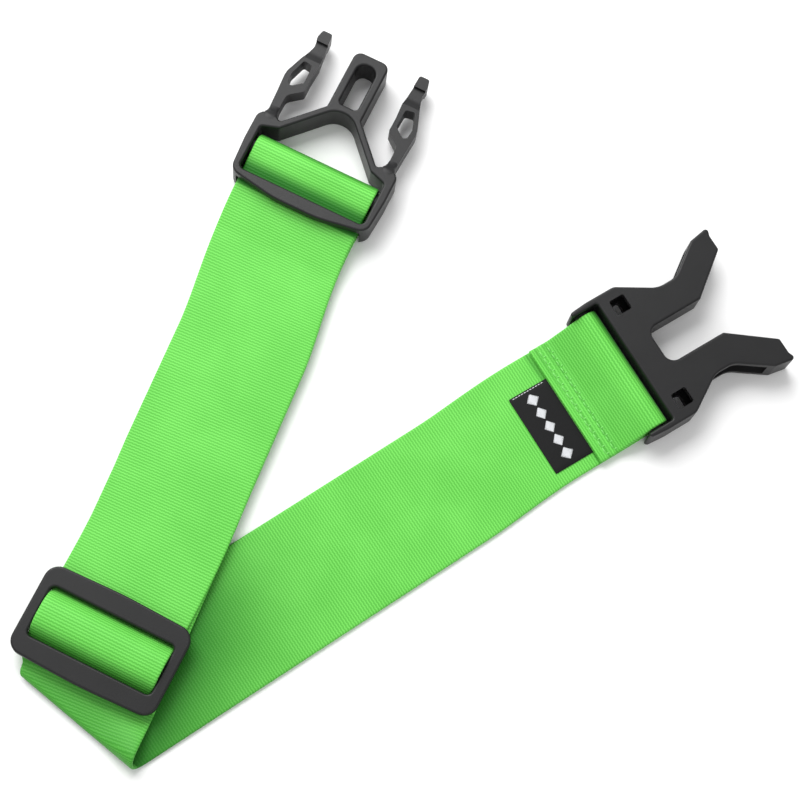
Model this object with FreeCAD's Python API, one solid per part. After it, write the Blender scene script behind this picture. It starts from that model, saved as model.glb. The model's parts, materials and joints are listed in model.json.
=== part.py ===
"""Adjustable luggage strap: one length of webbing laid down with a diagonal fold.

The lower leg ends in a sewn loop round the socket half of a side release buckle.
The upper leg runs through a slider and round the bar of the plug half, and its end
is sewn round the slider's middle bar.

Units are millimetres, +Z is up and the table is z = 0. Every moulding is drawn in its
own frame first: u points from its bar to its tips, v to its left and z up.
"""
import FreeCAD, Part
import math
import os

V = FreeCAD.Vector

# ---- driving dimensions ---------------------------------------------------------
webbing_width = 50.0
webbing_thick = 1.4
running_gap = 0.3               # between pieces that move past each other

# layout of the two legs, measured from the middle of the fold
upper_leg_angle = 34.15         # degrees from +X
lower_leg_angle = 0.0
male_bar_station = 224.3        # along the upper leg
slider_station = 31.2           # along the upper leg
female_bar_station = 238.2      # along the lower leg
fold_gap = 0.9                  # air between the two layers at the fold
fold_inset = 4.0                # the rolled fold lies inside the crossing of the two legs
male_skew = -3.5                # degrees that each moulding lies askew on its leg
slider_skew = -4.0
female_skew = -2.15
male_sideways = 1.4             # and how far it lies off the middle of its leg
slider_sideways = 2.4

# side release buckle, both halves
buckle_thick = 13.0
rail_wall = 3.5                 # plug half's rails beside its window
window_clearance = 1.0          # webbing edge to frame, each side
edge_round = 0.8

male_bar_radius = 4.0
outer_bar_inner = -12.0         # near edge of the outer bar
outer_bar_end = -14.2           # far edge at its two ends
outer_bar_middle = -17.5        # far edge at its middle
outer_bar_thick = 3.2
rail_top = 9.0                  # where the rails turn in to the shoulders
arch_foot = 8.8                 # inner foot of the arch
arch_foot_inset = 6.8           # from the window's side
arch_slope = 1.07               # rise of the arch's legs in u for each mm of v
arch_crown = 25.5               # inner top of the arch
arch_crown_radius = 8.0
arch_wall = 2.7
post_half_width = 7.2
post_tip = 51.5
post_hole_start = 28.6
post_hole_end = 47.5
post_hole_half = 3.9
post_clearance = 0.5            # in the socket half's notch

arm_thick = 7.4
arm_neck_thick = 4.6            # the scooped neck behind the hook
arm_pivot_u = 12.6
arm_inset = 1.1                 # of the arms' pivots from the window's side
arm_root_radius = 1.9

female_bar_radius = 3.2
socket_rail = 2.4               # beside the webbing slot
slot_clearance = 0.7            # from the webbing to the body side of its slot
female_ear_end = -5.5
plate_thick = 2.5
notch_base = 16.4
waist_inset = 6.4
socket_wall = 2.0
catch_window_u = 12.8
catch_window_inset = 5.0
catch_window = 6.4

# slider
slider_end_bar = 4.2            # beside the slots
slider_side_gap = 0.4           # webbing to end bar
slider_bar = 7.2                # outer bars, along the webbing, at the corners
slider_slot = 6.8               # each slot, along the webbing
slider_bow = 1.0                # the long sides curve outwards
slider_thick = 3.6
slider_corner = 5.5
middle_bar_half = 3.0
middle_bar_thick = 2.4
wave_squeeze = 1.6              # the webbing squeezes in as it passes the slider

# sewn ends and label
hem_length = 24.0               # from the socket half's bar back to the cut edge
hem_flat = 8.5                  # part of the hem that lies flat
label_length = 33.0             # along the hem
label_depth = 22.0
label_tuck = 5.5                # under the hem
label_thick = 0.6
label_offset = -3.4             # middle of the label from the middle of the webbing
stitch_length = 2.2
stitch_pitch = 3.1
stitch_width = 0.5
stitch_height = 0.3
stitch_inset = 3.2              # first row from the hem's edge
stitch_row_gap = 3.6

# where the webbing bends when the plug half is lifted
bend_station = 40.0             # behind the plug half's bar
bottom_dip_start = 34.0         # where the lower layer starts down to the bar
top_rise = 8.0                  # middle of the webbing where it passes the outer bar

# ---- heights worked out from the stack ------------------------------------------
half_web = webbing_thick / 2
bar_height = buckle_thick / 2
run_bottom = webbing_thick + fold_gap
run_middle = run_bottom + half_web
run_top = run_bottom + webbing_thick
over_middle = run_top + running_gap + half_web     # webbing that lies on the run
slider_bottom = over_middle + half_web + running_gap
slider_top = slider_bottom + slider_thick
middle_bar_top = slider_bottom + middle_bar_thick
window_half = webbing_width / 2 + window_clearance
frame_half_width = window_half + rail_wall
arch_foot_half = window_half - arch_foot_inset
arm_pivot_v = window_half - arm_inset
female_half_width = window_half + socket_rail
female_slot_edge = female_bar_radius + running_gap + webbing_thick + slot_clearance
notch_half = post_half_width + post_clearance
wave_width = webbing_width - wave_squeeze
slider_window_half = wave_width / 2 + slider_side_gap
slider_half_length = slider_window_half + slider_end_bar
slider_window_depth = middle_bar_half + slider_slot
slider_half_depth = slider_window_depth + slider_bar
male_loop_radius = male_bar_radius + running_gap + half_web
female_loop_radius = female_bar_radius + running_gap + half_web
hem_middle = webbing_thick + label_thick + half_web


# ---- helpers --------------------------------------------------------------------
def rounded_outline(corners):
    """Closed wire through (x, y, radius) corners, each rounded by its own radius."""
    starts, middles, ends = [], [], []
    for i, (x, y, radius) in enumerate(corners):
        here = V(x, y, 0)
        before = V(*corners[i - 1][:2], 0) - here
        after = V(*corners[(i + 1) % len(corners)][:2], 0) - here
        if radius == 0:
            starts.append(here)
            middles.append(None)
            ends.append(here)
            continue
        before.normalize()
        after.normalize()
        half = before.getAngle(after) / 2
        inward = before + after
        inward.normalize()
        centre = here + inward * (radius / math.sin(half))
        starts.append(here + before * (radius / math.tan(half)))
        middles.append(centre - inward * radius)
        ends.append(here + after * (radius / math.tan(half)))
    edges = []
    for i, middle in enumerate(middles):
        if middle is not None:
            edges.append(Part.Arc(starts[i], middle, ends[i]).toShape())
        following = starts[(i + 1) % len(corners)]
        if ends[i].distanceToPoint(following) > 1e-5:
            edges.append(Part.LineSegment(ends[i], following).toShape())
    return Part.Wire(edges)


def plate(corners, low, high):
    """Solid between two heights with a rounded outline."""
    solid = Part.Face(rounded_outline(corners)).extrude(V(0, 0, high - low))
    solid.translate(V(0, 0, low))
    return solid


def mirrored(corners):
    """Outline of a symmetric piece from its left half, listed from back to front."""
    return corners + [(x, -y, radius) for x, y, radius in reversed(corners)]


def strip(path, width, thick=webbing_thick):
    """Webbing that follows a path of (u, z, radius) points, seen from the side."""
    sides = []
    for side in (1, -1):
        points = []
        for i, (x, y, radius) in enumerate(path):
            here = V(x, y, 0)
            into = here - V(*path[i - 1][:2], 0) if i else None
            out = V(*path[i + 1][:2], 0) - here if i + 1 < len(path) else None
            into = V(into or out)
            out = V(out or into)
            into.normalize()
            out.normalize()
            normal_in = V(-into.y, into.x, 0)
            normal_out = V(-out.y, out.x, 0)
            shift = (normal_in + normal_out) * (side * thick / 2 / (1 + normal_in.dot(normal_out)))
            turn = into.cross(out).z
            grown = radius - side * math.copysign(thick / 2, turn) if radius else 0
            points.append((x + shift.x, y + shift.y, grown))
        sides.append(points)
    face = Part.Face(rounded_outline(sides[0] + sides[1][::-1]))
    face.rotate(V(0, 0, 0), V(1, 0, 0), 90)
    solid = face.extrude(V(0, width, 0))
    solid.translate(V(0, -width / 2, 0))
    return solid


def round_bar_corners(approach, leave, centre, radius):
    """Corners of a wrap round a bar at u = 0, from a lower point to an upper point."""
    corners = []
    for (u, z), side in ((approach, -1), (leave, 1)):
        rise = math.atan2(centre - z, -u)
        spread = math.asin(radius / math.hypot(u, centre - z))
        corners.append((radius, z + (radius - u) * math.tan(rise + side * spread), radius))
    return corners


def along(angle, distance, sideways=0.0):
    """Point on a leg, from the middle of the fold."""
    a = math.radians(angle)
    return V(distance * math.cos(a) - sideways * math.sin(a),
             distance * math.sin(a) + sideways * math.cos(a), 0)


def place(shape, leg_angle, station, skew=0.0, sideways=0.0):
    """Put a piece drawn at its bar onto its leg."""
    shape.rotate(V(0, 0, 0), V(0, 0, 1), leg_angle + skew)
    shape.translate(along(leg_angle, station, sideways))
    return shape


def between(shape, leg_angle, start, end):
    """The part of a piece between two stations of a leg, cut square to the leg."""
    keep = Part.makeBox(end - start, 2 * webbing_width, 2 * buckle_thick,
                        V(start, -webbing_width, -buckle_thick / 2))
    return shape.common(place(keep, leg_angle, 0))


def round_rims(shape, radius, cutters=()):
    """Round the edges of the flat top and bottom faces, or only those of its cut-outs."""
    box = shape.optimalBoundingBox(False, False)
    rims = [edge for edge in shape.Edges
            if edge.BoundBox.ZLength < 1e-4
            and min(abs(edge.BoundBox.ZMin - box.ZMin), abs(edge.BoundBox.ZMin - box.ZMax)) < 1e-4]
    if cutters:
        middles = [Part.Vertex(edge.valueAt((edge.FirstParameter + edge.LastParameter) / 2))
                   for edge in rims]
        rims = [edge for edge, middle in zip(rims, middles)
                if min(middle.distToShape(cutter)[0] for cutter in cutters) < 1e-3]
    return shape.makeFillet(radius, rims)


# ---- webbing --------------------------------------------------------------------
fold_line_angle = (upper_leg_angle + lower_leg_angle) / 2 + 90


def leg_slab(leg_angle, end_station, bottom):
    """Flat webbing from the fold line to a square end."""
    to_fold_line = math.radians(fold_line_angle - leg_angle)
    lean = 1 / math.tan(to_fold_line)
    start = fold_inset / math.sin(to_fold_line)
    half = webbing_width / 2
    corners = [(start + half * lean, half, 0), (start - half * lean, -half, 0),
               (end_station, -half, 0), (end_station, half, 0)]
    return place(plate(corners, bottom, bottom + webbing_thick), leg_angle, 0)


def lower_leg():
    """Lower leg, the loop round the socket half's bar and the hem folded back on it."""
    foot = hem_length - hem_flat
    approach = (-foot, half_web)
    leave = (-foot, hem_middle)
    path = [(-hem_length - 12.0, half_web, 0), (*approach, 8.0)]
    path += round_bar_corners(approach, leave, bar_height, female_loop_radius)
    path += [(*leave, 6.0), (-hem_length, hem_middle, 0)]
    loop = place(strip(path, webbing_width), lower_leg_angle, female_bar_station, female_skew)
    flat = leg_slab(lower_leg_angle, female_bar_station - hem_length - 7.0, 0)
    return flat.fuse(loop).removeSplitter()


def fold():
    """Half round fold that joins the two legs along the diagonal."""
    inner = fold_gap / 2
    outer = inner + webbing_thick
    middle = webbing_thick + inner
    lean = math.sin(math.radians(fold_line_angle - upper_leg_angle))
    length = webbing_width / lean
    ring = [Part.Arc(V(0, 0, middle - r), V(-r, 0, middle), V(0, 0, middle + r)).toShape()
            for r in (outer, inner)]
    ends = [Part.LineSegment(V(0, 0, middle + s * inner), V(0, 0, middle + s * outer)).toShape()
            for s in (-1, 1)]
    face = Part.Face(Part.Wire([ring[0], ends[1], ring[1], ends[0]]))
    solid = face.extrude(V(0, length, 0))
    solid.translate(V(0, -length / 2, 0))
    return place(solid, fold_line_angle - 90, fold_inset)


def bottom_run():
    """Lower layer of the upper leg, flat from the fold to the bend behind the plug half."""
    return leg_slab(upper_leg_angle, male_bar_station - bend_station, run_bottom)


def top_run():
    """Upper layer of the upper leg, between the slider and the bend."""
    start = slider_station + slider_half_depth + 1.0
    end = male_bar_station - bend_station
    half = webbing_width / 2
    corners = [(start, -half, 0), (end, -half, 0), (end, half, 0), (start, half, 0)]
    return place(plate(corners, over_middle - half_web, over_middle + half_web), upper_leg_angle, 0)


def male_loop():
    """Both layers in front of the bend and the loop round the plug half's bar."""
    start = -bend_station - 4.0
    under = (-bottom_dip_start, run_middle)
    over = (outer_bar_end, top_rise)
    path = [(start, run_middle, 0), (*under, 20.0)]
    path += round_bar_corners(under, over, bar_height, male_loop_radius)
    path += [(*over, 8.0), (-bottom_dip_start, over_middle, 20.0), (start, over_middle, 0)]
    loop = place(strip(path, webbing_width), upper_leg_angle, male_bar_station, male_skew, male_sideways)
    return between(loop, upper_leg_angle, male_bar_station - bend_station + running_gap,
                   male_bar_station + 2 * male_loop_radius)


def slider_wave():
    """Webbing that dips under both outer bars of the slider and rises over the middle one."""
    crest = middle_bar_top + webbing_thick + 2 * running_gap + half_web
    foot = slider_window_depth - 0.1
    shoulder = middle_bar_half + webbing_thick
    end = slider_half_depth + 4.0
    path = [(-end, over_middle, 0), (-foot, over_middle, 3.0),
            (-shoulder, crest, 8.0), (shoulder, crest, 8.0),
            (foot, over_middle, 3.0), (end, over_middle, 0)]
    wave = place(strip(path, wave_width), upper_leg_angle, slider_station, slider_skew, slider_sideways)
    reach = slider_half_depth + 1.0
    return between(wave, upper_leg_angle, slider_station - reach,
                   slider_station + reach - running_gap)


def sewn_end():
    """End of the webbing, wrapped once round the slider's middle bar."""
    gap = running_gap / 2
    half = middle_bar_half + gap
    rings = []
    for grow in (webbing_thick, 0.0):
        low = slider_bottom - gap - grow
        high = middle_bar_top + gap + grow
        reach = half + grow
        corner = 0.8 + grow
        rings.append(Part.Face(rounded_outline([
            (-reach, low, corner), (reach, low, corner), (reach, high, corner), (-reach, high, corner)])))
    face = rings[0].cut(rings[1])
    face.rotate(V(0, 0, 0), V(1, 0, 0), 90)
    solid = face.extrude(V(0, wave_width, 0))
    solid.translate(V(0, -wave_width / 2, 0))
    return place(solid, upper_leg_angle, slider_station, slider_skew, slider_sideways)


# ---- mouldings ------------------------------------------------------------------
def slider_frame():
    """Rectangular slider with a webbing slot each side of its middle bar."""
    depth, length = slider_half_depth, slider_half_length
    bow_radius = length ** 2 / slider_bow / 4
    frame = plate([(-depth, -length, slider_corner), (depth, -length, slider_corner),
                   (depth + slider_bow, 0, bow_radius), (depth, length, slider_corner),
                   (-depth, length, slider_corner), (-depth - slider_bow, 0, bow_radius)],
                  slider_bottom, slider_top)
    hole = slider_window_depth
    side = slider_window_half
    frame = frame.cut(plate([(-hole, -side, 2.0), (hole, -side, 2.0), (hole, side, 2.0),
                             (-hole, side, 2.0)], slider_bottom - 1, slider_top + 1))
    frame = round_rims(frame, edge_round)
    bar = plate([(-middle_bar_half, -side - 1.5, 0), (middle_bar_half, -side - 1.5, 0),
                 (middle_bar_half, side + 1.5, 0), (-middle_bar_half, side + 1.5, 0)],
                slider_bottom, middle_bar_top)
    bar = bar.makeFillet(0.7, [e for e in bar.Edges if e.BoundBox.YLength > 2 * side])
    return place(frame.fuse(bar), upper_leg_angle, slider_station, slider_skew, slider_sideways)


def male_frame():
    """Plug half: frame, round bar, arch and slotted centre post."""
    rail = frame_half_width
    wall_u = arch_wall * math.hypot(1, arch_slope)       # arch wall measured along u
    shoulder_v = arm_pivot_v + arm_root_radius + 1.0
    foot_v = arm_pivot_v - arm_root_radius - 1.0
    arch_outer = [(arch_foot + wall_u + (arch_foot_half - v) * arch_slope, v)
                  for v in (foot_v - 1.6, post_half_width)]
    outline = mirrored([
        (outer_bar_middle, 9.0, 40.0), (outer_bar_end, rail - 1.0, 4.5),
        (rail_top - 9.0, rail, 8.0), (rail_top + 1.6, rail, 3.0),
        (arm_pivot_u, shoulder_v, 1.2), (arm_pivot_u, foot_v, 1.2),
        (*arch_outer[0], 1.2), (*arch_outer[1], 1.0), (post_tip, post_half_width, 3.2)])
    frame = round_rims(plate(outline, 0, buckle_thick), edge_round)
    window = mirrored([
        (outer_bar_inner, window_half, 2.0), (arch_foot - 2.2, window_half, 1.5),
        (arch_foot, arch_foot_half, 1.0),
        (arch_crown, arch_foot_half - (arch_crown - arch_foot) / arch_slope, arch_crown_radius)])
    hole = mirrored([(post_hole_start, post_hole_half, 1.6),
                     (post_hole_end, post_hole_half, post_hole_half - 0.4)])
    cutters = [plate(window, -1, buckle_thick + 1), plate(hole, -1, buckle_thick + 1)]
    for cutter in cutters:
        frame = frame.cut(cutter)
    frame = round_rims(frame, edge_round, cutters)
    passage = mirrored([(outer_bar_middle - 5, window_half, 0), (outer_bar_inner, window_half, 0)])
    frame = frame.cut(plate(passage, -1, buckle_thick - outer_bar_thick))
    for side in (-1, 1):
        seat = Part.makeCylinder(arm_root_radius + running_gap, buckle_thick + 2,
                                 V(arm_pivot_u, side * arm_pivot_v, -1))
        frame = frame.cut(seat)
    bar = Part.makeCylinder(male_bar_radius, 2 * window_half + 2,
                            V(0, -window_half - 1, bar_height), V(0, 1, 0))
    frame = frame.fuse(bar)
    return place(frame, upper_leg_angle, male_bar_station, male_skew, male_sideways)


def latch_arm(side):
    """Sprung arm with its press loop, scooped neck and hook."""
    low = bar_height - arm_thick / 2
    high = bar_height + arm_thick / 2
    p = arm_pivot_v
    root = arm_root_radius
    outer = [(arm_pivot_u, p + root, 0), (23.5, p + 2.5, 9.0), (32.0, p + 3.1, 9.0), (41.6, p - 0.3, 4.0),
             (47.0, p - 1.9, 3.0), (51.0, p - 1.3, 1.5), (54.2, p - 2.1, 1.0)]
    inner = [(54.2, p - 6.2, 1.0), (48.9, p - 6.5, 1.0), (40.5, p - 7.3, 3.0), (34.0, p - 6.9, 2.0),
             (27.9, p - 7.0, 1.2), (23.4, p - 1.5, 3.0), (arm_pivot_u, p - root + 0.6, 0)]
    blank = plate([(u, v * side, r) for u, v, r in outer + inner], low, high)
    knuckle = Part.makeCylinder(root, arm_thick, V(arm_pivot_u, p * side, low))
    arm = blank.fuse(knuckle).removeSplitter()
    loop = [(26.4, p + 0.3, 1.5), (32.5, p + 0.9, 3.0), (39.4, p - 1.3, 1.0), (38.8, p - 4.9, 1.0),
            (31.0, p - 5.3, 1.5)]
    arm = arm.cut(plate([(u, v * side, r) for u, v, r in loop], low - 1, high + 1))
    for face, away in ((high, 1), (low, -1)):
        scoop = strip([(41.5, face + away * 2.0, 0), (44.5, face + away * 1.0, 3.0),
                       (49.3, face + away * 1.0, 0)], 12.0, 2 * (arm_thick - arm_neck_thick) / 2 + 2.0)
        scoop.translate(V(0, side * (p - 3.9), 0))
        arm = arm.cut(scoop)
    return place(arm, upper_leg_angle, male_bar_station, male_skew, male_sideways)


def female_shell():
    """Socket half: two plates with the latch cavities between them, and its bar."""
    w = female_half_width
    ear = window_half
    waist = ear - waist_inset
    notch_round = 4.0
    outline = mirrored([
        (female_ear_end, ear - 0.4, 0), (female_ear_end, ear + 1.8, 1.4), (2.0, w, 6.0),
        (14.5, w, 4.0), (29.0, waist, 9.0), (37.0, waist, 8.0), (50.2, ear + 2.8, 2.0),
        (59.0, ear + 4.3, 1.2), (57.6, ear + 0.8, 1.5), (57.6, ear - 5.4, 1.2), (40.5, notch_half, 1.2),
        (notch_base, notch_half, notch_round)])
    shell = round_rims(plate(outline, 0, buckle_thick), edge_round)
    slot = mirrored([(female_ear_end - 2, ear, 0), (female_slot_edge, ear, 1.0)])
    shell = shell.cut(plate(slot, -1, buckle_thick + 1))
    shell = shell.makeFillet(edge_round, [
        edge for edge in shell.Edges
        if edge.BoundBox.YLength > ear and abs(edge.BoundBox.XMax - female_slot_edge) < 1e-4])
    wall_in = notch_half + socket_wall
    for side in (-1, 1):
        cavity = [(9.2, wall_in, 0.5), (9.2, ear - 1.4, 0.5), (15.5, ear - 0.4, 1.0), (23.5, ear - 4.8, 0),
                  (26.0, ear + 6.0, 0), (44.4, ear + 6.0, 0), (47.5, ear + 1.2, 1.0), (62.0, ear + 1.2, 0),
                  (62.0, ear - 8.0, 0), (42.4, wall_in, 0)]
        shell = shell.cut(plate([(u, v * side, r) for u, v, r in cavity],
                                plate_thick, buckle_thick - plate_thick))
        half = catch_window / 2
        window = [(catch_window_u + a * half, (ear - catch_window_inset + b * half) * side, 0.8)
                  for a, b in ((-1, -1), (1, -1), (1, 1), (-1, 1))]
        shell = shell.cut(plate(window, -1, buckle_thick + 1))
    bar = Part.makeCylinder(female_bar_radius, 2 * ear + 2, V(0, -ear - 1, bar_height), V(0, 1, 0))
    return place(shell.fuse(bar), lower_leg_angle, female_bar_station, female_skew)


# ---- label and stitching --------------------------------------------------------
def label():
    """Woven tab with its edge tucked under the hem."""
    far = -hem_length - label_depth + label_tuck
    near = -hem_length + label_tuck
    left = label_offset + label_length / 2
    right = label_offset - label_length / 2
    tab = plate([(far, right, 1.0), (near, right, 0), (near, left, 0), (far, left, 1.0)],
                webbing_thick, webbing_thick + label_thick)
    return place(tab, lower_leg_angle, female_bar_station, female_skew)


def stitch_row(length, count):
    """Stitches end to end along v, centred, as separate solids."""
    return [Part.makeBox(stitch_width, length, stitch_height,
                         V(-stitch_width / 2, (i - (count - 1) / 2) * stitch_pitch - length / 2, 0))
            for i in range(count)]


def hem_stitches():
    """Two rows of lock stitches through the hem."""
    count = int((webbing_width - 2.0) // stitch_pitch)
    rows = []
    for row in range(2):
        u = -hem_length + stitch_inset + row * stitch_row_gap
        for stitch in stitch_row(stitch_length, count):
            stitch.translate(V(u, 0, hem_middle + half_web))
            rows.append(stitch)
    return place(Part.makeCompound(rows), lower_leg_angle, female_bar_station, female_skew)


def label_stitches():
    """Short row that holds the label's free end."""
    middle = -hem_length - (label_depth - label_tuck) / 2
    left = label_offset + label_length / 2
    row = stitch_row(stitch_length, int((label_depth - label_tuck - 2.0) // stitch_pitch))
    for stitch in row:
        stitch.rotate(V(0, 0, 0), V(0, 0, 1), 90)
        stitch.translate(V(middle, left - 1.6, webbing_thick + label_thick))
    return place(Part.makeCompound(row), lower_leg_angle, female_bar_station, female_skew)


# ---- assembly -------------------------------------------------------------------
nodes = {
    "webbing_lower_leg": lower_leg(),
    "webbing_fold": fold(),
    "webbing_bottom_run": bottom_run(),
    "webbing_top_run": top_run(),
    "webbing_male_loop": male_loop(),
    "webbing_slider_wave": slider_wave(),
    "webbing_sewn_end": sewn_end(),
    "slider_frame": slider_frame(),
    "male_frame": male_frame(),
    "latch_arm_left": latch_arm(1),
    "latch_arm_right": latch_arm(-1),
    "female_shell": female_shell(),
    "label": label(),
    "hem_stitches": hem_stitches(),
    "label_stitches": label_stitches(),
}

box = FreeCAD.BoundBox()
for shape in nodes.values():
    box.add(shape.optimalBoundingBox(False, False))
to_origin = V(-box.Center.x, -box.Center.y, -box.ZMin)

os.makedirs("parts", exist_ok=True)
for name, shape in nodes.items():
    shape.translate(to_origin)
    shape.exportStep(f"parts/{name}.step")

# places that the record and the joints quote
male_axis = upper_leg_angle + male_skew
male_origin = along(upper_leg_angle, male_bar_station, male_sideways) + to_origin
for name, point in {
        "fold middle": to_origin,
        "slider": along(upper_leg_angle, slider_station, slider_sideways) + to_origin,
        "plug bar": male_origin,
        "bend": along(male_axis, -bend_station) + male_origin + V(0, 0, run_top + running_gap / 2),
        "left arm pivot": along(male_axis, arm_pivot_u, arm_pivot_v) + male_origin,
        "right arm pivot": along(male_axis, arm_pivot_u, -arm_pivot_v) + male_origin,
        "socket bar": along(lower_leg_angle, female_bar_station) + to_origin + V(0, 0, bar_height),
}.items():
    print(f"{name}: {point.x:.3f} {point.y:.3f} {point.z:.3f}")
print(f"size: {box.XLength:.2f} {box.YLength:.2f} {box.ZLength:.2f}")
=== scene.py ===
import json
import math

import bpy
import numpy as np
from mathutils import Euler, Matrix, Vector


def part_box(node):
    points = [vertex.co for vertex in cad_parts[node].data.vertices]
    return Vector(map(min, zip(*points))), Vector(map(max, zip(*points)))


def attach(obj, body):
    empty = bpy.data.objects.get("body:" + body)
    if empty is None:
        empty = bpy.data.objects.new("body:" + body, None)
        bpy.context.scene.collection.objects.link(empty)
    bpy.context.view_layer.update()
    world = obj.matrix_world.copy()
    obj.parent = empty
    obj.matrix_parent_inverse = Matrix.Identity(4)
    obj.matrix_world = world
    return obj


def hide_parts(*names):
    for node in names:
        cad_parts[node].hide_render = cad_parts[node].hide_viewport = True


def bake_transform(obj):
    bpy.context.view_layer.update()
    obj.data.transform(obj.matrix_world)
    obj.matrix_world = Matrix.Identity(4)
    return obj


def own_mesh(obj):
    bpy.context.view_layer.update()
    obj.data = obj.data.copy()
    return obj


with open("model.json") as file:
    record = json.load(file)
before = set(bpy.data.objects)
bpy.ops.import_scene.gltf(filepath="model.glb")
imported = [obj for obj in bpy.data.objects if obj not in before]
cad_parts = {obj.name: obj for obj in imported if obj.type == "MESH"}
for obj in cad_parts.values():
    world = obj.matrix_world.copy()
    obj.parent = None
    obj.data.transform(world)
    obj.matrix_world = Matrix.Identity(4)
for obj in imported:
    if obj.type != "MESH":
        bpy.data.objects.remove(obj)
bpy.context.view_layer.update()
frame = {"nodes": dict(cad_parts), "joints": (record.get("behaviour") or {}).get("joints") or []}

# ---- table top, lights and camera ------------------------------------------------
# The strap lies on a plain pale table. One wide soft light stands behind it, a weak one
# in front, and white walls all round send some light back.
MM = 0.001
scene = bpy.context.scene
scene.view_settings.view_transform = "Standard"

table_half = 1.6
table_drop = 0.0004             # a hair under the strap, so that no two faces coincide
table_sides = ((-1, -1), (1, -1), (1, 1), (-1, 1))
table_corners = [(x * table_half, y * table_half, -table_drop) for x, y in table_sides]
table_mesh = bpy.data.meshes.new("table_top")
table_mesh.from_pydata(table_corners, [], [(0, 1, 2, 3)])
table_top = bpy.data.objects.new("table_top", table_mesh)
scene.collection.objects.link(table_top)
table_paint = bpy.data.materials.new("table_paint")
table_paint.use_nodes = True
table_shader = table_paint.node_tree.nodes["Principled BSDF"]
table_shader.inputs["Base Color"].default_value = (0.95, 0.95, 0.95, 1)
table_shader.inputs["Roughness"].default_value = 0.9
table_shader.inputs["Specular IOR Level"].default_value = 0.1
table_mesh.materials.append(table_paint)

walls = bpy.data.worlds.new("white_walls")
walls.use_nodes = True
walls.node_tree.nodes["Background"].inputs["Color"].default_value = (1, 1, 1, 1)
walls.node_tree.nodes["Background"].inputs["Strength"].default_value = 0.55
scene.world = walls


def soft_light(name, place, size, watts):
    """Square area light that shines on the middle of the strap."""
    data = bpy.data.lights.new(name, "AREA")
    data.shape = "SQUARE"
    data.size = size
    data.energy = watts
    light = bpy.data.objects.new(name, data)
    light.location = place
    light.rotation_euler = (-Vector(place)).to_track_quat("-Z", "Y").to_euler()
    scene.collection.objects.link(light)


soft_light("back_light", (0.10, 0.62, 0.75), 0.8, 12.4)
soft_light("front_light", (-0.25, -0.6, 0.75), 0.8, 1.6)

camera_aim = Vector((0.01842, -0.03402, 0))
camera_distance = 0.746
camera_elevation, camera_heading, camera_roll = 73.91, -47.84, 14.54
camera = bpy.data.objects.new("camera", bpy.data.cameras.new("camera"))
camera.data.lens = 90
camera.data.sensor_width = 36
camera.data.clip_start = 0.01
camera_turn = (Euler((0, 0, math.radians(camera_heading))).to_matrix()
               @ Euler((math.radians(90 - camera_elevation), 0, 0)).to_matrix()
               @ Euler((0, 0, math.radians(camera_roll))).to_matrix())
camera.rotation_euler = camera_turn.to_euler()
camera.location = camera_aim + camera_turn @ Vector((0, 0, camera_distance))
scene.collection.objects.link(camera)
scene.camera = camera

# ---- lower leg of the webbing, with its fold and its hem --------------------------
# One length of ribbed polyester webbing, 50 mm wide. The lower leg lies flat, goes up
# round the socket half's bar and is folded back on itself as a hem. At its other end
# the webbing turns over along a diagonal and becomes the upper leg.
webbing_thick = 1.4
webbing_half = 25.0
half_web = webbing_thick / 2
run_middle = 3.0                # lower layer of the upper leg
over_middle = 4.7               # upper layer of the upper leg
bar_height = 6.5

joints = {joint["name"]: joint for joint in frame["joints"]}
leg_axis = Vector(joints["slider_slide"]["axis"])
upper_angle = math.atan2(leg_axis.y, leg_axis.x)
fold_slope = math.tan(upper_angle / 2)
fold_set_back = 4.0
fold_inset = fold_set_back / math.cos(upper_angle / 2)
socket_bar = np.array(joints["socket_lift"]["pos_m"]) / MM
socket_angle = math.atan2(joints["socket_lift"]["axis"][0], -joints["socket_lift"]["axis"][1])
leg_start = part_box("webbing_lower_leg")[0][0] / MM
fold_middle = np.array((leg_start + webbing_half * fold_slope - fold_inset, socket_bar[1]))
lower_length = socket_bar[0] - fold_middle[0]
selvedge = webbing_half - np.array([0, 0.07, 0.25, 0.5, 0.9, 1.6])      # closer where the edge is rounded
yarns = np.concatenate([-selvedge, np.linspace(-22, 22, 23), selvedge[::-1]])[None, :]


def ease(value, start, end):
    """0 before start, 1 after end, and a smooth rise between them."""
    t = np.clip((value - start) / (end - start), 0, 1)
    return t * t * (3 - 2 * t)


def put_down(origin, heading, u, v):
    """Points of a piece drawn along its own axis, laid on the table's plane."""
    c, s = math.cos(heading), math.sin(heading)
    return np.stack([origin[0] + u * c - v * s, origin[1] + u * s + v * c], axis=-1)


def stand(xy, z):
    """Add heights to points on the plane."""
    return np.concatenate([xy, z[..., None] + 0 * xy[..., :1]], axis=-1)


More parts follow.
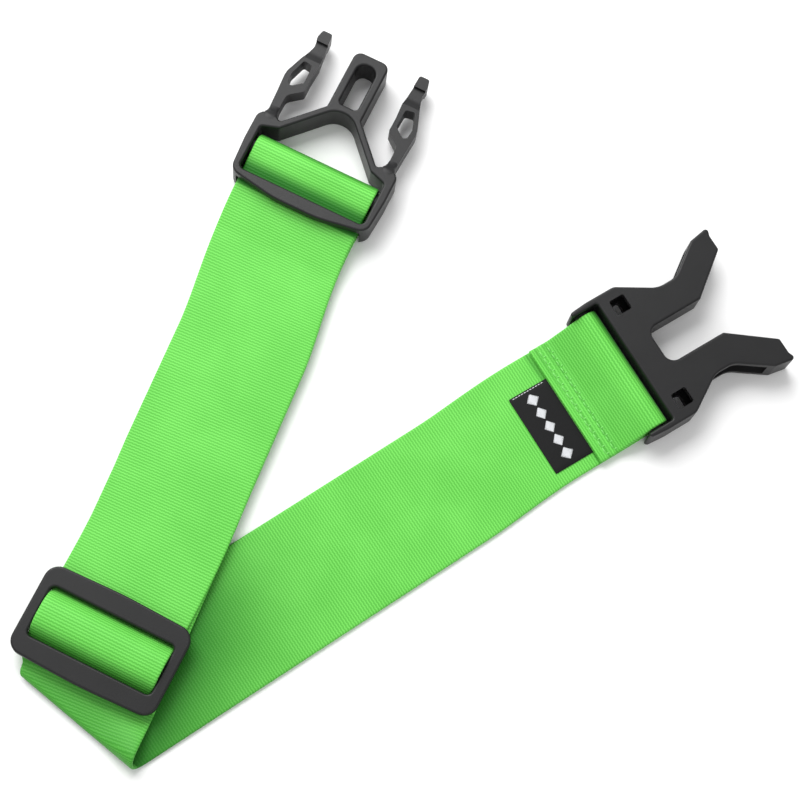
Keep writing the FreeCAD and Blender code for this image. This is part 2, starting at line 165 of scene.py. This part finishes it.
def side_route(corners, step=0.8):
    """Evenly spaced (u, z) points along runs whose corners are arcs, and their lengths."""
    points = [np.array(corners[0][:2])]
    for before, (u, z, radius), after in zip(corners, corners[1:], corners[2:]):
        here = np.array((u, z))
        back = np.array(before[:2]) - here
        on = np.array(after[:2]) - here
        back /= np.linalg.norm(back)
        on /= np.linalg.norm(on)
        half = math.acos(float(np.clip(back @ on, -1, 1))) / 2
        middle = back + on
        centre = here + middle / np.linalg.norm(middle) * radius / math.sin(half)
        spoke = here + back * radius / math.tan(half) - centre
        sweep = math.copysign(math.pi - 2 * half, back[1] * on[0] - back[0] * on[1])
        for turn in np.linspace(0, sweep, 17):
            c, s = math.cos(turn), math.sin(turn)
            points.append(centre + np.array((spoke[0] * c - spoke[1] * s, spoke[0] * s + spoke[1] * c)))
    points.append(np.array(corners[-1][:2]))
    points = np.array(points)
    length = np.concatenate([[0], np.cumsum(np.linalg.norm(np.diff(points, axis=0), axis=1))])
    even = np.linspace(0, length[-1], int(length[-1] / step) + 2)
    return [np.interp(even, length, points[:, k])[:, None] for k in (0, 1)] + [even[:, None]]


def round_bar(approach, leave, radius):
    """Two corners that take a route round a bar, from a lower point to an upper one."""
    corners = []
    for (u, z), side in ((approach, -1), (leave, 1)):
        rise = math.atan2(bar_height - z, -u)
        spread = math.asin(radius / math.hypot(u, bar_height - z))
        corners.append((radius, z + (radius - u) * math.tan(rise + side * spread), radius))
    return corners


def weave(name, middle, along, across, thick=webbing_thick, thin=1.0, painted_shade=0.0):
    """Cloth with rounded edges round a grid of points of its middle surface. Where it lies
    between layers or down a slot, painted shade makes its colour deeper."""
    rows, count = middle.shape[:2]
    along, across = np.broadcast_to(along, (rows, count)), np.broadcast_to(across, (rows, count))
    normal = np.cross(np.gradient(middle, axis=0), np.gradient(middle, axis=1))
    normal /= np.linalg.norm(normal, axis=-1, keepdims=True)
    from_edge = np.minimum(across - across.min(), across.max() - across) / (thick / 2)
    half = thick / 2 * np.sqrt(1 - (1 - np.clip(from_edge, 0, 1)) ** 2) * thin
    upper = middle + normal * half[..., None]
    under = middle - normal * half[..., None]
    ring = np.concatenate([upper, under[:, -2:0:-1]], axis=1)
    around = ring.shape[1]
    faces = []
    for row in range(rows - 1):
        for k in range(around):
            a, b = row * around + k, row * around + (k + 1) % around
            faces.append((a, b, b + around, a + around))
    for base, flip in ((0, True), ((rows - 1) * around, False)):
        for k in range(count - 1):
            face = (base + k, base + k + 1, base + (around - k - 1), base + (around - k) % around)
            face = tuple(dict.fromkeys(face))
            faces.append(face if flip else face[::-1])
    mesh = bpy.data.meshes.new(name)
    mesh.from_pydata((ring.reshape(-1, 3) * MM).tolist(), [], faces)
    # The third mark is painted shade, which darkens the cloth's colour.
    marks = np.stack([along, across, painted_shade + 0 * along], axis=-1)
    marks = np.concatenate([marks, marks[:, -2:0:-1]], axis=1).reshape(-1, 3)
    cloth = mesh.attributes.new("weave", "FLOAT_VECTOR", "POINT")
    cloth.data.foreach_set("vector", marks.astype(np.float32).ravel())
    mesh.shade_smooth()
    mesh.set_sharp_from_angle(angle=math.radians(60))
    piece = bpy.data.objects.new(name, mesh)
    scene.collection.objects.link(piece)
    return piece


def fresh_material(name, roughness):
    """New material, its node tree and its shader."""
    material = bpy.data.materials.new(name)
    material.use_nodes = True
    shader = material.node_tree.nodes["Principled BSDF"]
    shader.inputs["Roughness"].default_value = roughness
    return material, material.node_tree, shader


def maths(tree, kind, *values):
    """Math node on sockets or numbers."""
    node = tree.nodes.new("ShaderNodeMath")
    node.operation = kind
    for socket, value in zip(node.inputs, values):
        if isinstance(value, (int, float)):
            socket.default_value = value
        else:
            tree.links.new(value, socket)
    return node.outputs[0]


def mix_colours(tree, share, first, second):
    """Colour between two, by a socket from 0 to 1."""
    node = tree.nodes.new("ShaderNodeMix")
    node.data_type = "RGBA"
    tree.links.new(share, node.inputs["Factor"])
    for socket, colour in zip([s for s in node.inputs if s.type == "RGBA"], (first, second)):
        if isinstance(colour, tuple):
            socket.default_value = (*colour, 1)
        else:
            tree.links.new(colour, socket)
    return next(s for s in node.outputs if s.type == "RGBA")


def roughen(tree, shader, height, strength, depth):
    """Bump from a height socket; its depth is in metres."""
    node = tree.nodes.new("ShaderNodeBump")
    node.inputs["Strength"].default_value = strength
    node.inputs["Distance"].default_value = depth
    tree.links.new(height, node.inputs["Height"])
    tree.links.new(node.outputs["Normal"], shader.inputs["Normal"])


def noise(tree, scale, detail=2):
    """Noise in the piece's own coordinates, in metres."""
    place = tree.nodes.new("ShaderNodeTexCoord")
    node = tree.nodes.new("ShaderNodeTexNoise")
    node.inputs["Scale"].default_value = scale
    node.inputs["Detail"].default_value = detail
    tree.links.new(place.outputs["Object"], node.inputs["Vector"])
    return node.outputs["Fac"]


def cloth_marks(tree):
    """Distances along and across the cloth, in mm, as it was woven, and how much painted shade it carries."""
    marks = tree.nodes.new("ShaderNodeAttribute")
    marks.attribute_name = "weave"
    split = tree.nodes.new("ShaderNodeSeparateXYZ")
    tree.links.new(marks.outputs["Vector"], split.inputs[0])
    return split.outputs["X"], split.outputs["Y"], split.outputs["Z"]


def wave_of(tree, phase):
    """0 to 1 and back for each whole step of the phase."""
    turn = maths(tree, "COSINE", maths(tree, "MULTIPLY", phase, 2 * math.pi))
    return maths(tree, "MULTIPLY_ADD", turn, 0.5, 0.5)


def webbing_material(name, light, dark, shade_colour):
    """Polyester weave: ribs across the strap, broken into beads by the lengthwise yarns."""
    rib_pitch, bead_pitch, zigzag = 1.1, 0.8, 0.16
    material, tree, shader = fresh_material(name, 0.5)
    shader.inputs["Sheen Weight"].default_value = 0.05
    shader.inputs["Sheen Roughness"].default_value = 0.4
    shader.inputs["Specular IOR Level"].default_value = 0.22
    along, across, painted_shade = cloth_marks(tree)
    sway = maths(tree, "PINGPONG", maths(tree, "DIVIDE", across, bead_pitch * 2), 0.5)
    phase = maths(tree, "MULTIPLY_ADD", sway, zigzag * 2, maths(tree, "DIVIDE", along, rib_pitch))
    rib = wave_of(tree, phase)
    brick = maths(tree, "MULTIPLY", maths(tree, "FLOOR", phase), 0.5)
    bead = wave_of(tree, maths(tree, "ADD", maths(tree, "DIVIDE", across, bead_pitch), brick))
    height = maths(tree, "MULTIPLY", rib, maths(tree, "MULTIPLY_ADD", bead, 0.45, 0.55))
    patches = maths(tree, "SUBTRACT", noise(tree, 45, 3), 0.5)
    share = maths(tree, "MULTIPLY_ADD", patches, 0.6, height)
    # Painted shade: where the cloth carries it, its colour goes towards the deepest green.
    colour = mix_colours(tree, painted_shade, mix_colours(tree, share, dark, light), shade_colour)
    tree.links.new(colour, shader.inputs["Base Color"])
    roughen(tree, shader, height, 0.45, 0.0002)
    return material


# The deepest green is the painted shade colour.
green_webbing = webbing_material("green_webbing", light=(0.188, 0.7, 0.113), dark=(0.086, 0.435, 0.046),
                                 shade_colour=(0.003, 0.12, 0.002))

seam_station = 20.0             # on the upper leg, where this stretch ends
fold_radius = 1.15
fold_opening = 2.2              # the roll is looser at its outer corner
hem_length = 24.0
hem_foot = 15.5                 # where the hem comes down onto the leg
hem_middle = 2.7
stitch_rows = (-20.8, -17.2)    # along the hem, measured from the bar
stitch_groove = 0.22
cut_ridge = 0.3                 # the hot-cut edge of the hem stands up a little
socket_loop = 4.2
approach, leave = (-hem_foot, half_web), (-hem_foot, hem_middle)
loop_start = -hem_length - 12.0  # a little before the hem's cut edge
loop_u, loop_z, loop_length = side_route(
    [(loop_start, half_web, 0), (*approach, 8.0)] + round_bar(approach, leave, socket_loop)
    + [(*leave, 6.0), (-hem_length, hem_middle, 0)], 0.4)
for row_u in stitch_rows:
    on_hem = loop_length > loop_length.max() - hem_length
    loop_z = loop_z - on_hem * stitch_groove * np.exp(-((loop_u - row_u) / 0.6) ** 2)
loop_z = loop_z + on_hem * cut_ridge * np.exp(-((loop_u + hem_length) / 0.8) ** 2)

roll = fold_radius + fold_opening * ease(-yarns, 5, webbing_half) ** 1.5
tuck = fold_inset + (roll - fold_radius) / math.cos(upper_angle / 2)    # keeps the roll's outline straight
upper_t = np.linspace(seam_station, 0, 30)[:, None]
upper_u = upper_t + (tuck + yarns * fold_slope) * (1 - upper_t / seam_station)
upper_xy = put_down(fold_middle, upper_angle, upper_u, yarns + 0 * upper_t)
upper_z = run_middle + (2 * roll + half_web - run_middle) * (1 - ease(upper_t, 0, 14))
turn_angle = np.linspace(0, math.pi, 17)[1:-1, None]
upper_edge = put_down(fold_middle, upper_angle, tuck + yarns * fold_slope, yarns)
lower_edge = put_down(fold_middle, 0, tuck - yarns * fold_slope, yarns)
outward = -np.array((math.cos(upper_angle / 2), math.sin(upper_angle / 2)))
share = (turn_angle / math.pi)[..., None]
roll_xy = upper_edge * (1 - share) + lower_edge * share + (roll * np.sin(turn_angle))[..., None] * outward
roll_z = half_web + roll * (1 + np.cos(turn_angle))
flat_end = lower_length + loop_start
lower_t = np.linspace(0, flat_end, int(flat_end / 1.5))[:, None]
lower_u = lower_t + (tuck - yarns * fold_slope) * (1 - ease(lower_t, 0, 40))


def askew(leg_origin, leg, own_origin, own, u, v, far, near):
    """Lies along the leg far from a moulding and along the moulding's own axis near it."""
    share = ease(u, far, near)[..., None]
    return put_down(leg_origin, leg, u, v) * (1 - share) + put_down(own_origin, own, u, v) * share


leg_turn = (-75, -28)           # behind the bar, where the leg turns to the socket half's axis
lower_xy = askew(socket_bar, 0, socket_bar, socket_angle, lower_u - lower_length,
                 yarns + 0 * lower_t, *leg_turn)
bar_xy = askew(socket_bar, 0, socket_bar, socket_angle, loop_u[1:] + 0 * yarns,
               yarns + 0 * loop_u[1:], *leg_turn)
surface = np.concatenate([stand(upper_xy, upper_z), stand(roll_xy, roll_z),
                          stand(lower_xy, half_web + 0 * lower_u), stand(bar_xy, loop_z[1:])])
turned = math.pi * fold_radius
roll_along = -turned * (1 - turn_angle / math.pi) - tuck * np.cos(turn_angle) - yarns * fold_slope
along = np.concatenate([-turned - upper_u, roll_along, lower_u, flat_end + loop_length[1:] + 0 * yarns])

# Shade is painted into the cloth's colour: a painted shadow under the upper leg and beside it,
# and painted shade where it turns over, past the bar and on the slope up to it, in the grooves of the
# stitches and along the hem's cut edge.
leg_way = np.array((math.cos(upper_angle), math.sin(upper_angle)))
from_fold = surface[..., :2] - fold_middle
up_leg = from_fold @ leg_way
beside = -webbing_half - from_fold @ np.array((-leg_way[1], leg_way[0]))
under_leg = surface[..., 2] < run_middle - 1
shadow = 0.9 * np.exp(-(np.clip(beside, 0, None) / 26) ** 1.4) * (1 - ease(up_leg, 40, 110)) * under_leg
turn_shade = 0.5 * (1 - ease(up_leg + 0.3 * beside, -4, 18)) * (1 - ease(up_leg, 9, 19)) * ~under_leg
past_bar = surface[..., 0] - socket_bar[0]
on_slope = ease(past_bar, -18, -14) * (1 - ease(past_bar, -7, -3))
far_side_shade = 0.75 * ease(past_bar, 1.5, 4) + 0.14 * on_slope * ~under_leg
groove_shade = sum(0.28 * np.exp(-((past_bar - row_u) / 0.7) ** 2) for row_u in stitch_rows) * ~under_leg
hem_edge_shade = 0.45 * np.exp(-((past_bar + hem_length + 0.4) / 0.9) ** 2) * under_leg
painted_shade = np.clip(shadow + turn_shade + far_side_shade + groove_shade + hem_edge_shade, 0, 0.9)
lower_leg = weave("lower_leg_webbing", surface, along, yarns, painted_shade=painted_shade)
lower_leg.data.materials.append(green_webbing)
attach(lower_leg, "root")
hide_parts("webbing_lower_leg", "webbing_fold")

# ---- upper leg, lower layer -------------------------------------------------------
# The same webbing after the fold. It runs flat under the slider to the plug half.
plug_lift = joints["plug_lift"]
bend_station = 40.0             # behind the plug half's bar
plug_angle = math.atan2(plug_lift["axis"][0], -plug_lift["axis"][1])
plug_way = np.array((math.cos(plug_angle), math.sin(plug_angle)))
plug_bar = np.array(plug_lift["pos_m"])[:2] / MM + bend_station * plug_way
plug_station = float((plug_bar - fold_middle) @ leg_way)
plug_join = 75.0                # behind the bar, where the plug half's end of the webbing starts
run_end = plug_station - plug_join
run_t = np.linspace(run_end, seam_station, 110)[:, None]
run_xy = put_down(fold_middle, upper_angle, run_t + 0 * yarns, yarns + 0 * run_t)
bottom_run = weave("upper_leg_lower_layer", stand(run_xy, run_middle + 0 * run_t), -turned - run_t, yarns)
bottom_run.data.materials.append(green_webbing)


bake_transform(bottom_run)
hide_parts("webbing_bottom_run")

# ---- plug half's end of the webbing -----------------------------------------------
# Both layers close up behind the plug half, go under its outer bar and round its
# inner bar.
plug_loop = 5.0
dip, outer_bar = (-34.0, run_middle), (-14.2, 8.0)
plug_u, plug_z, plug_length = side_route(
    [(-plug_join, run_middle, 0), (*dip, 20.0)] + round_bar(dip, outer_bar, plug_loop)
    + [(*outer_bar, 8.0), (dip[0], over_middle, 20.0), (-plug_join, over_middle, 0)], 0.6)
plug_origin = fold_middle + plug_station * leg_way
plug_turn = (-74, -16)          # behind the bar, where the leg turns to the plug half's axis
bar_xy = askew(plug_origin, upper_angle, plug_bar, plug_angle, plug_u + 0 * yarns,
               yarns + 0 * plug_u, *plug_turn)
plug_along = -turned - run_end - plug_length
over_bar = plug_z > bar_height
# Painted shade where the loop runs down from its top towards the outer bar, and on the loop's far side round
# the inner bar.
plug_shade = 0.95 * over_bar * (ease(-plug_u, 3.5, 9.5) * (1 - ease(-plug_u, 15.5, 17)) + ease(plug_u, 1.5, 5))
plug_webbing = weave("plug_end_webbing", stand(bar_xy, plug_z), plug_along, yarns, painted_shade=plug_shade + 0 * yarns)
plug_webbing.data.materials.append(green_webbing)
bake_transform(plug_webbing)
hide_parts("webbing_male_loop")

# ---- upper leg, upper layer -------------------------------------------------------
# The webbing that comes back from the plug half and runs to the slider.
low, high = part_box("slider_frame")
slider_middle = np.array((low[0] + high[0], low[1] + high[1])) / 2 / MM
slider_station = float((slider_middle - fold_middle) @ leg_way)
slider_origin = fold_middle + slider_station * leg_way
slider_skew = 4.0               # degrees off the leg
slider_angle = upper_angle - math.radians(slider_skew)
under_bar = 13.4                # where the webbing is hidden by the slider's outer bars
over_t = np.linspace(slider_station + under_bar, run_end, 90)[:, None]
over_u = over_t - slider_station + 0 * yarns
far = ease(over_u, under_bar, 75)[..., None]
over_xy = (put_down(slider_origin, upper_angle, over_u, yarns + 0 * over_t) * far
           + put_down(slider_middle, slider_angle, over_u, yarns + 0 * over_t) * (1 - far))
over_along = plug_along[-1] - (run_end - over_t)
top_run = weave("upper_leg_upper_layer", stand(over_xy, over_middle + 0 * over_t), over_along, yarns)
top_run.data.materials.append(green_webbing)
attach(top_run, "plug_carriage")
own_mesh(top_run)
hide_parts("webbing_top_run")

# ---- webbing in the slider --------------------------------------------------------
# It passes under both outer bars and over the middle one. On the fold's side it comes
# down onto the lower layer. Its own end is wrapped round the middle bar and sewn.
crest, shoulder, foot = 10.8, 4.4, 9.7
run_top = run_middle + half_web
wave_u, wave_z, wave_length = side_route(
    [(under_bar + 0.3, over_middle, 0), (foot, over_middle, 3.0), (shoulder, crest, 7.5),
     (-shoulder, crest, 7.5), (-foot, over_middle, 3.0), (-under_bar, over_middle, 0)], 0.4)
tail_share = np.linspace(0, 1, 24)[1:, None]
tail_reach = 5.0 + (webbing_half - yarns) * 0.08
tail_u = -under_bar - tail_share * tail_reach
tail_top = run_top + 0.03 + (over_middle + half_web - run_top) * (1 - ease(tail_share, 0, 1))
tail_low = run_top + 0.3 * (1 - ease(tail_share, 0, 0.5)) + 0 * yarns
squeeze = 1 - 0.02 * ease(-np.abs(wave_u), -14, -9)
wave_xy = put_down(slider_middle, slider_angle, wave_u + 0 * yarns, yarns * squeeze)
settle = ease(-tail_u, under_bar, 17.5)[..., None]
tail_xy = (put_down(slider_origin, upper_angle, tail_u, yarns + 0 * tail_u) * settle
           + put_down(slider_middle, slider_angle, tail_u, yarns + 0 * tail_u) * (1 - settle))
surface = np.concatenate([stand(wave_xy, wave_z), stand(tail_xy, (tail_top + tail_low) / 2)])
thin = np.concatenate([1 + 0 * wave_u + 0 * yarns, (tail_top - tail_low) / webbing_thick])
tail_along = -turned - slider_station - tail_u
wave_along = np.concatenate([tail_along[0] + 0 * wave_u - (wave_length.max() - wave_length), tail_along])
# Painted shade where the webbing runs down towards the outer bars, and on its tail under the bar.
wave_shade = np.concatenate([0.7 * ease(-wave_u, 3.5, 9.5) + 0.75 * ease(wave_u, 7.5, 10) + 0 * yarns,
                            0.45 + 0 * tail_u])
wave_webbing = weave("slider_webbing", surface[::-1], wave_along[::-1], yarns, thin=thin[::-1],
                     painted_shade=wave_shade[::-1])
wave_webbing.data.materials.append(green_webbing)
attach(wave_webbing, "slider")
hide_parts("webbing_slider_wave")

wrap_low, wrap_high, wrap_reach, wrap_corner = 4.85, 8.95, 3.85, 1.5
wrap_width = 0.968              # of the webbing's width, where it is squeezed between the end bars
wrap_u, wrap_z, wrap_length = side_route(
    [(0.8, wrap_low, 0), (-wrap_reach, wrap_low, wrap_corner), (-wrap_reach, wrap_high, wrap_corner),
     (wrap_reach, wrap_high, wrap_corner), (wrap_reach, wrap_low, wrap_corner), (1.0, wrap_low, 0)], 0.4)
wrap_xy = put_down(slider_middle, slider_angle, wrap_u + 0 * yarns, yarns * wrap_width + 0 * wrap_u)
sewn_end = weave("sewn_end_webbing", stand(wrap_xy, wrap_z)[::-1], wrap_length[::-1], yarns)
sewn_end.data.materials.append(green_webbing)
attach(sewn_end, "slider")
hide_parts("webbing_sewn_end")


# ---- slider frame -----------------------------------------------------------------
# A rectangular slider injection-moulded in black acetal, with two slots and a middle
# bar. Its faces have the fine grain of the spark-eroded mould.
def moulding_material(name, colour, grain):
    """Satin moulded plastic with a fine grain."""
    material, tree, shader = fresh_material(name, 0.42)
    shader.inputs["Specular IOR Level"].default_value = 0.3
    fine = noise(tree, grain)
    broad = noise(tree, 90)
    paler = tuple(c * 1.5 for c in colour)
    tree.links.new(mix_colours(tree, broad, colour, paler), shader.inputs["Base Color"])
    tree.links.new(maths(tree, "MULTIPLY_ADD", fine, 0.2, 0.32), shader.inputs["Roughness"])
    roughen(tree, shader, fine, 0.3, 0.0001)
    return material


black_moulding = moulding_material("black_moulding", (0.009, 0.009, 0.0095), 3500)


def finish_moulding(node):
    """Give a packed moulding its material."""
    piece = frame["nodes"][node]
    piece.data.materials.clear()
    piece.data.materials.append(black_moulding)


finish_moulding("slider_frame")

# ---- plug half --------------------------------------------------------------------
# Moulded in one from black acetal: a frame with its round bar, an arch with a slotted
# centre post, and two sprung latch arms that grow out of the frame's shoulders.
for node in ("male_frame", "latch_arm_left", "latch_arm_right"):
    finish_moulding(node)


def loft(name, rings, material):
    """Closed solid through rings of points, all with the same count."""
    around = len(rings[0])
    faces = [tuple(range(around))[::-1], tuple(range((len(rings) - 1) * around, len(rings) * around))]
    for row in range(len(rings) - 1):
        for k in range(around):
            a, b = row * around + k, row * around + (k + 1) % around
            faces.append((a, b, b + around, a + around))
    mesh = bpy.data.meshes.new(name)
    mesh.from_pydata((np.array(rings).reshape(-1, 3) * MM).tolist(), [], faces)
    mesh.shade_smooth()
    mesh.set_sharp_from_angle(angle=math.radians(50))
    mesh.materials.append(material)
    piece = bpy.data.objects.new(name, mesh)
    scene.collection.objects.link(piece)
    return piece


def rounded_section(origin, heading, u, v, half_v, half_z, corner):
    """Rounded rectangle that stands across a moulding's axis at u."""
    ring = []
    for side_v, side_z, start in ((1, 1, 0), (-1, 1, 90), (-1, -1, 180), (1, -1, 270)):
        for share in np.linspace(0, 90, 5):
            angle = math.radians(start + share)
            dv = side_v * (half_v - corner) + corner * math.cos(angle)
            dz = side_z * (half_z - corner) + corner * math.sin(angle)
            x, y = put_down(origin, heading, u, v + dv)
            ring.append((x, y, bar_height + dz))
    return ring


# Sections of an arm's root, from the frame outwards: along and across from the root, half
# width, half height and corner.
arm_root_u, arm_root_v = 12.6, 24.9
root_sections = ((-2.4, 0.0, 2.6, 6.1, 0.9), (-0.6, 0.0, 2.75, 6.25, 0.9), (0.6, 0.0, 2.6, 6.0, 0.9),
                 (1.8, 0.1, 2.2, 4.9, 0.9), (3.2, 0.2, 1.95, 4.1, 0.9), (4.8, 0.2, 1.8, 3.8, 0.8))
for side, arm in ((1, "left"), (-1, "right")):
    rings = []
    for du, dv, half_v, half_z, corner in root_sections:
        u, v = arm_root_u + du, side * (arm_root_v + dv)
        rings.append(rounded_section(plug_bar, plug_angle, u, v, half_v, half_z, corner))
    arm_root = loft(f"arm_root_{arm}", rings, black_moulding)
    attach(arm_root, "plug_half")

# ---- socket half ------------------------------------------------------------------
# Two black acetal plates with the latch cavities between them, moulded in one with the two
# prongs and with the bar that the webbing goes round.
finish_moulding("female_shell")


# ---- hem stitching ----------------------------------------------------------------
# Two rows of lock stitches in green polyester thread go through the hem and the lower
# leg. Each stitch is a short hump of thread pulled down into the webbing at its ends.
def thread_material(name, colour):
    """Twisted thread with a slight sheen."""
    material, tree, shader = fresh_material(name, 0.45)
    shader.inputs["Sheen Weight"].default_value = 0.3
    twist = noise(tree, 6000)
    darker = tuple(c * 0.7 for c in colour)
    tree.links.new(mix_colours(tree, twist, darker, colour), shader.inputs["Base Color"])
    roughen(tree, shader, twist, 0.4, 0.0001)
    return material


def stitches(name, humps, radius, material):
    """Short humps of thread, each from one point to another, as one mesh."""
    points, faces = [], []
    rings, around = 9, 8
    for start, end in humps:
        start, end = np.array(start), np.array(end)
        way = (end - start) / np.linalg.norm(end - start)
        flat = np.array((-way[1], way[0], 0.0))
        base = len(points)
        for share in np.linspace(0, 1, rings):
            lift = math.sin(math.pi * share)
            girth = radius * (0.35 + 0.65 * lift ** 0.5)
            here = start + (end - start) * share + np.array((0, 0, radius * (1.25 * lift - 0.9)))
            for k in range(around):
                angle = 2 * math.pi * k / around
                points.append(here + girth * (flat * math.cos(angle) + np.array((0, 0, math.sin(angle)))))
        for row in range(rings - 1):
            for k in range(around):
                a, b = base + row * around + k, base + row * around + (k + 1) % around
                faces.append((a, b, b + around, a + around))
        faces.append(tuple(range(base, base + around))[::-1])
        faces.append(tuple(range(base + (rings - 1) * around, base + rings * around)))
    mesh = bpy.data.meshes.new(name)
    mesh.from_pydata((np.array(points) * MM).tolist(), [], faces)
    mesh.shade_smooth()
    mesh.materials.append(material)
    piece = bpy.data.objects.new(name, mesh)
    scene.collection.objects.link(piece)
    return piece


green_thread = thread_material("green_thread", (0.2, 0.74, 0.13))
stitch_pitch, stitch_length, stitch_count = 3.1, 2.4, 15
hem_top = hem_middle + half_web - stitch_groove
humps = []
tick_length = 1.5               # the lock of each stitch, across the row
for row_u in stitch_rows:
    for k in range(stitch_count):
        v = (k - (stitch_count - 1) / 2) * stitch_pitch
        along_row = [(row_u, v - stitch_length / 2), (row_u, v + stitch_length / 2)]
        tick = [(row_u + 0.2, v - stitch_pitch / 2), (row_u + tick_length, v - stitch_pitch / 2 + 0.15)]
        for pair in (along_row, tick):
            humps.append([(*put_down(socket_bar, socket_angle, u, w), hem_top + 0.14) for u, w in pair])
hem_thread = stitches("hem_thread", humps, 0.28, green_thread)
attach(hem_thread, "root")
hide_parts("hem_stitches")

# ---- label ------------------------------------------------------------------------
# A tab of black woven tape, tucked under the hem and tacked along one short side with
# pale thread. It carries a plain row of woven diamonds.
label_near, label_far = -18.6, -40.5
label_right, label_left = -19.9, 13.1
label_centre, label_half = (label_right + label_left) / 2, (label_left - label_right) / 2
label_thick = 0.6
label_middle = webbing_thick + label_thick / 2


def tape_material(name, light, dark):
    """Fine twill tape."""
    twill_pitch = 0.45
    material, tree, shader = fresh_material(name, 0.6)
    shader.inputs["Specular IOR Level"].default_value = 0.18
    along, across, _ = cloth_marks(tree)
    twill = wave_of(tree, maths(tree, "DIVIDE", maths(tree, "ADD", along, across), twill_pitch))
    weft = wave_of(tree, maths(tree, "DIVIDE", along, twill_pitch * 0.8))
    height = maths(tree, "MULTIPLY", twill, weft)
    tree.links.new(mix_colours(tree, height, dark, light), shader.inputs["Base Color"])
    roughen(tree, shader, height, 0.5, 0.0001)
    return material


label_tape = tape_material("label_tape", (0.014, 0.014, 0.0145), (0.005, 0.005, 0.0055))
tape_v = np.linspace(label_right, label_left, 34)[None, :]
tape_u = np.linspace(label_far, label_near, 26)[:, None]
pillow = 0.35 * ease(-tape_u, -label_near, -label_near + 8) * (1 - ease(-tape_u, -label_far - 5, -label_far))
tape_z = label_middle + pillow * (1 - ((tape_v - label_centre) / label_half) ** 4)
tape_xy = put_down(socket_bar, socket_angle, tape_u + 0 * tape_v, tape_v + 0 * tape_u)
label_tab = weave("label_tab", stand(tape_xy, tape_z)[::-1], tape_u[::-1], tape_v, thick=label_thick)
label_tab.data.materials.append(label_tape)
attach(label_tab, "root")
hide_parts("label")

pale_thread = thread_material("pale_thread", (0.78, 0.79, 0.82))
tack_count, tack_pitch, tack_length = 11, 1.25, 1.0
tack_start, tack_v = label_far + 1.2, label_left - 0.7
humps = []
for k in range(tack_count):
    u = tack_start + k * tack_pitch
    ends = [put_down(socket_bar, socket_angle, u + du, tack_v) for du in (0, tack_length)]
    humps.append([(*end, label_middle + label_thick / 2 + 0.05) for end in ends])
label_thread = stitches("label_thread", humps, 0.16, pale_thread)
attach(label_thread, "root")
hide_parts("label_stitches")

humps = []
diamond_count, diamond_u, diamond_pitch, diamond_half = 5, -32.8, 5.9, 2.6
diamond_slant = 1.1             # length to width
line_pitch = 0.3                # between lines of thread
line_top = label_middle + label_thick / 2 + 0.34
for k in range(diamond_count):
    centre_v = label_centre + (k - (diamond_count - 1) / 2) * diamond_pitch
    for line in np.arange(-diamond_half, diamond_half + 0.01, line_pitch):
        reach = (diamond_half - abs(line)) * diamond_slant
        if reach > line_pitch:
            v = centre_v + line
            ends = [put_down(socket_bar, socket_angle, diamond_u + side * reach, v) for side in (-1, 1)]
            humps.append([(*end, line_top) for end in ends])
label_diamonds = stitches("label_diamonds", humps, 0.17, pale_thread)
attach(label_diamonds, "root")
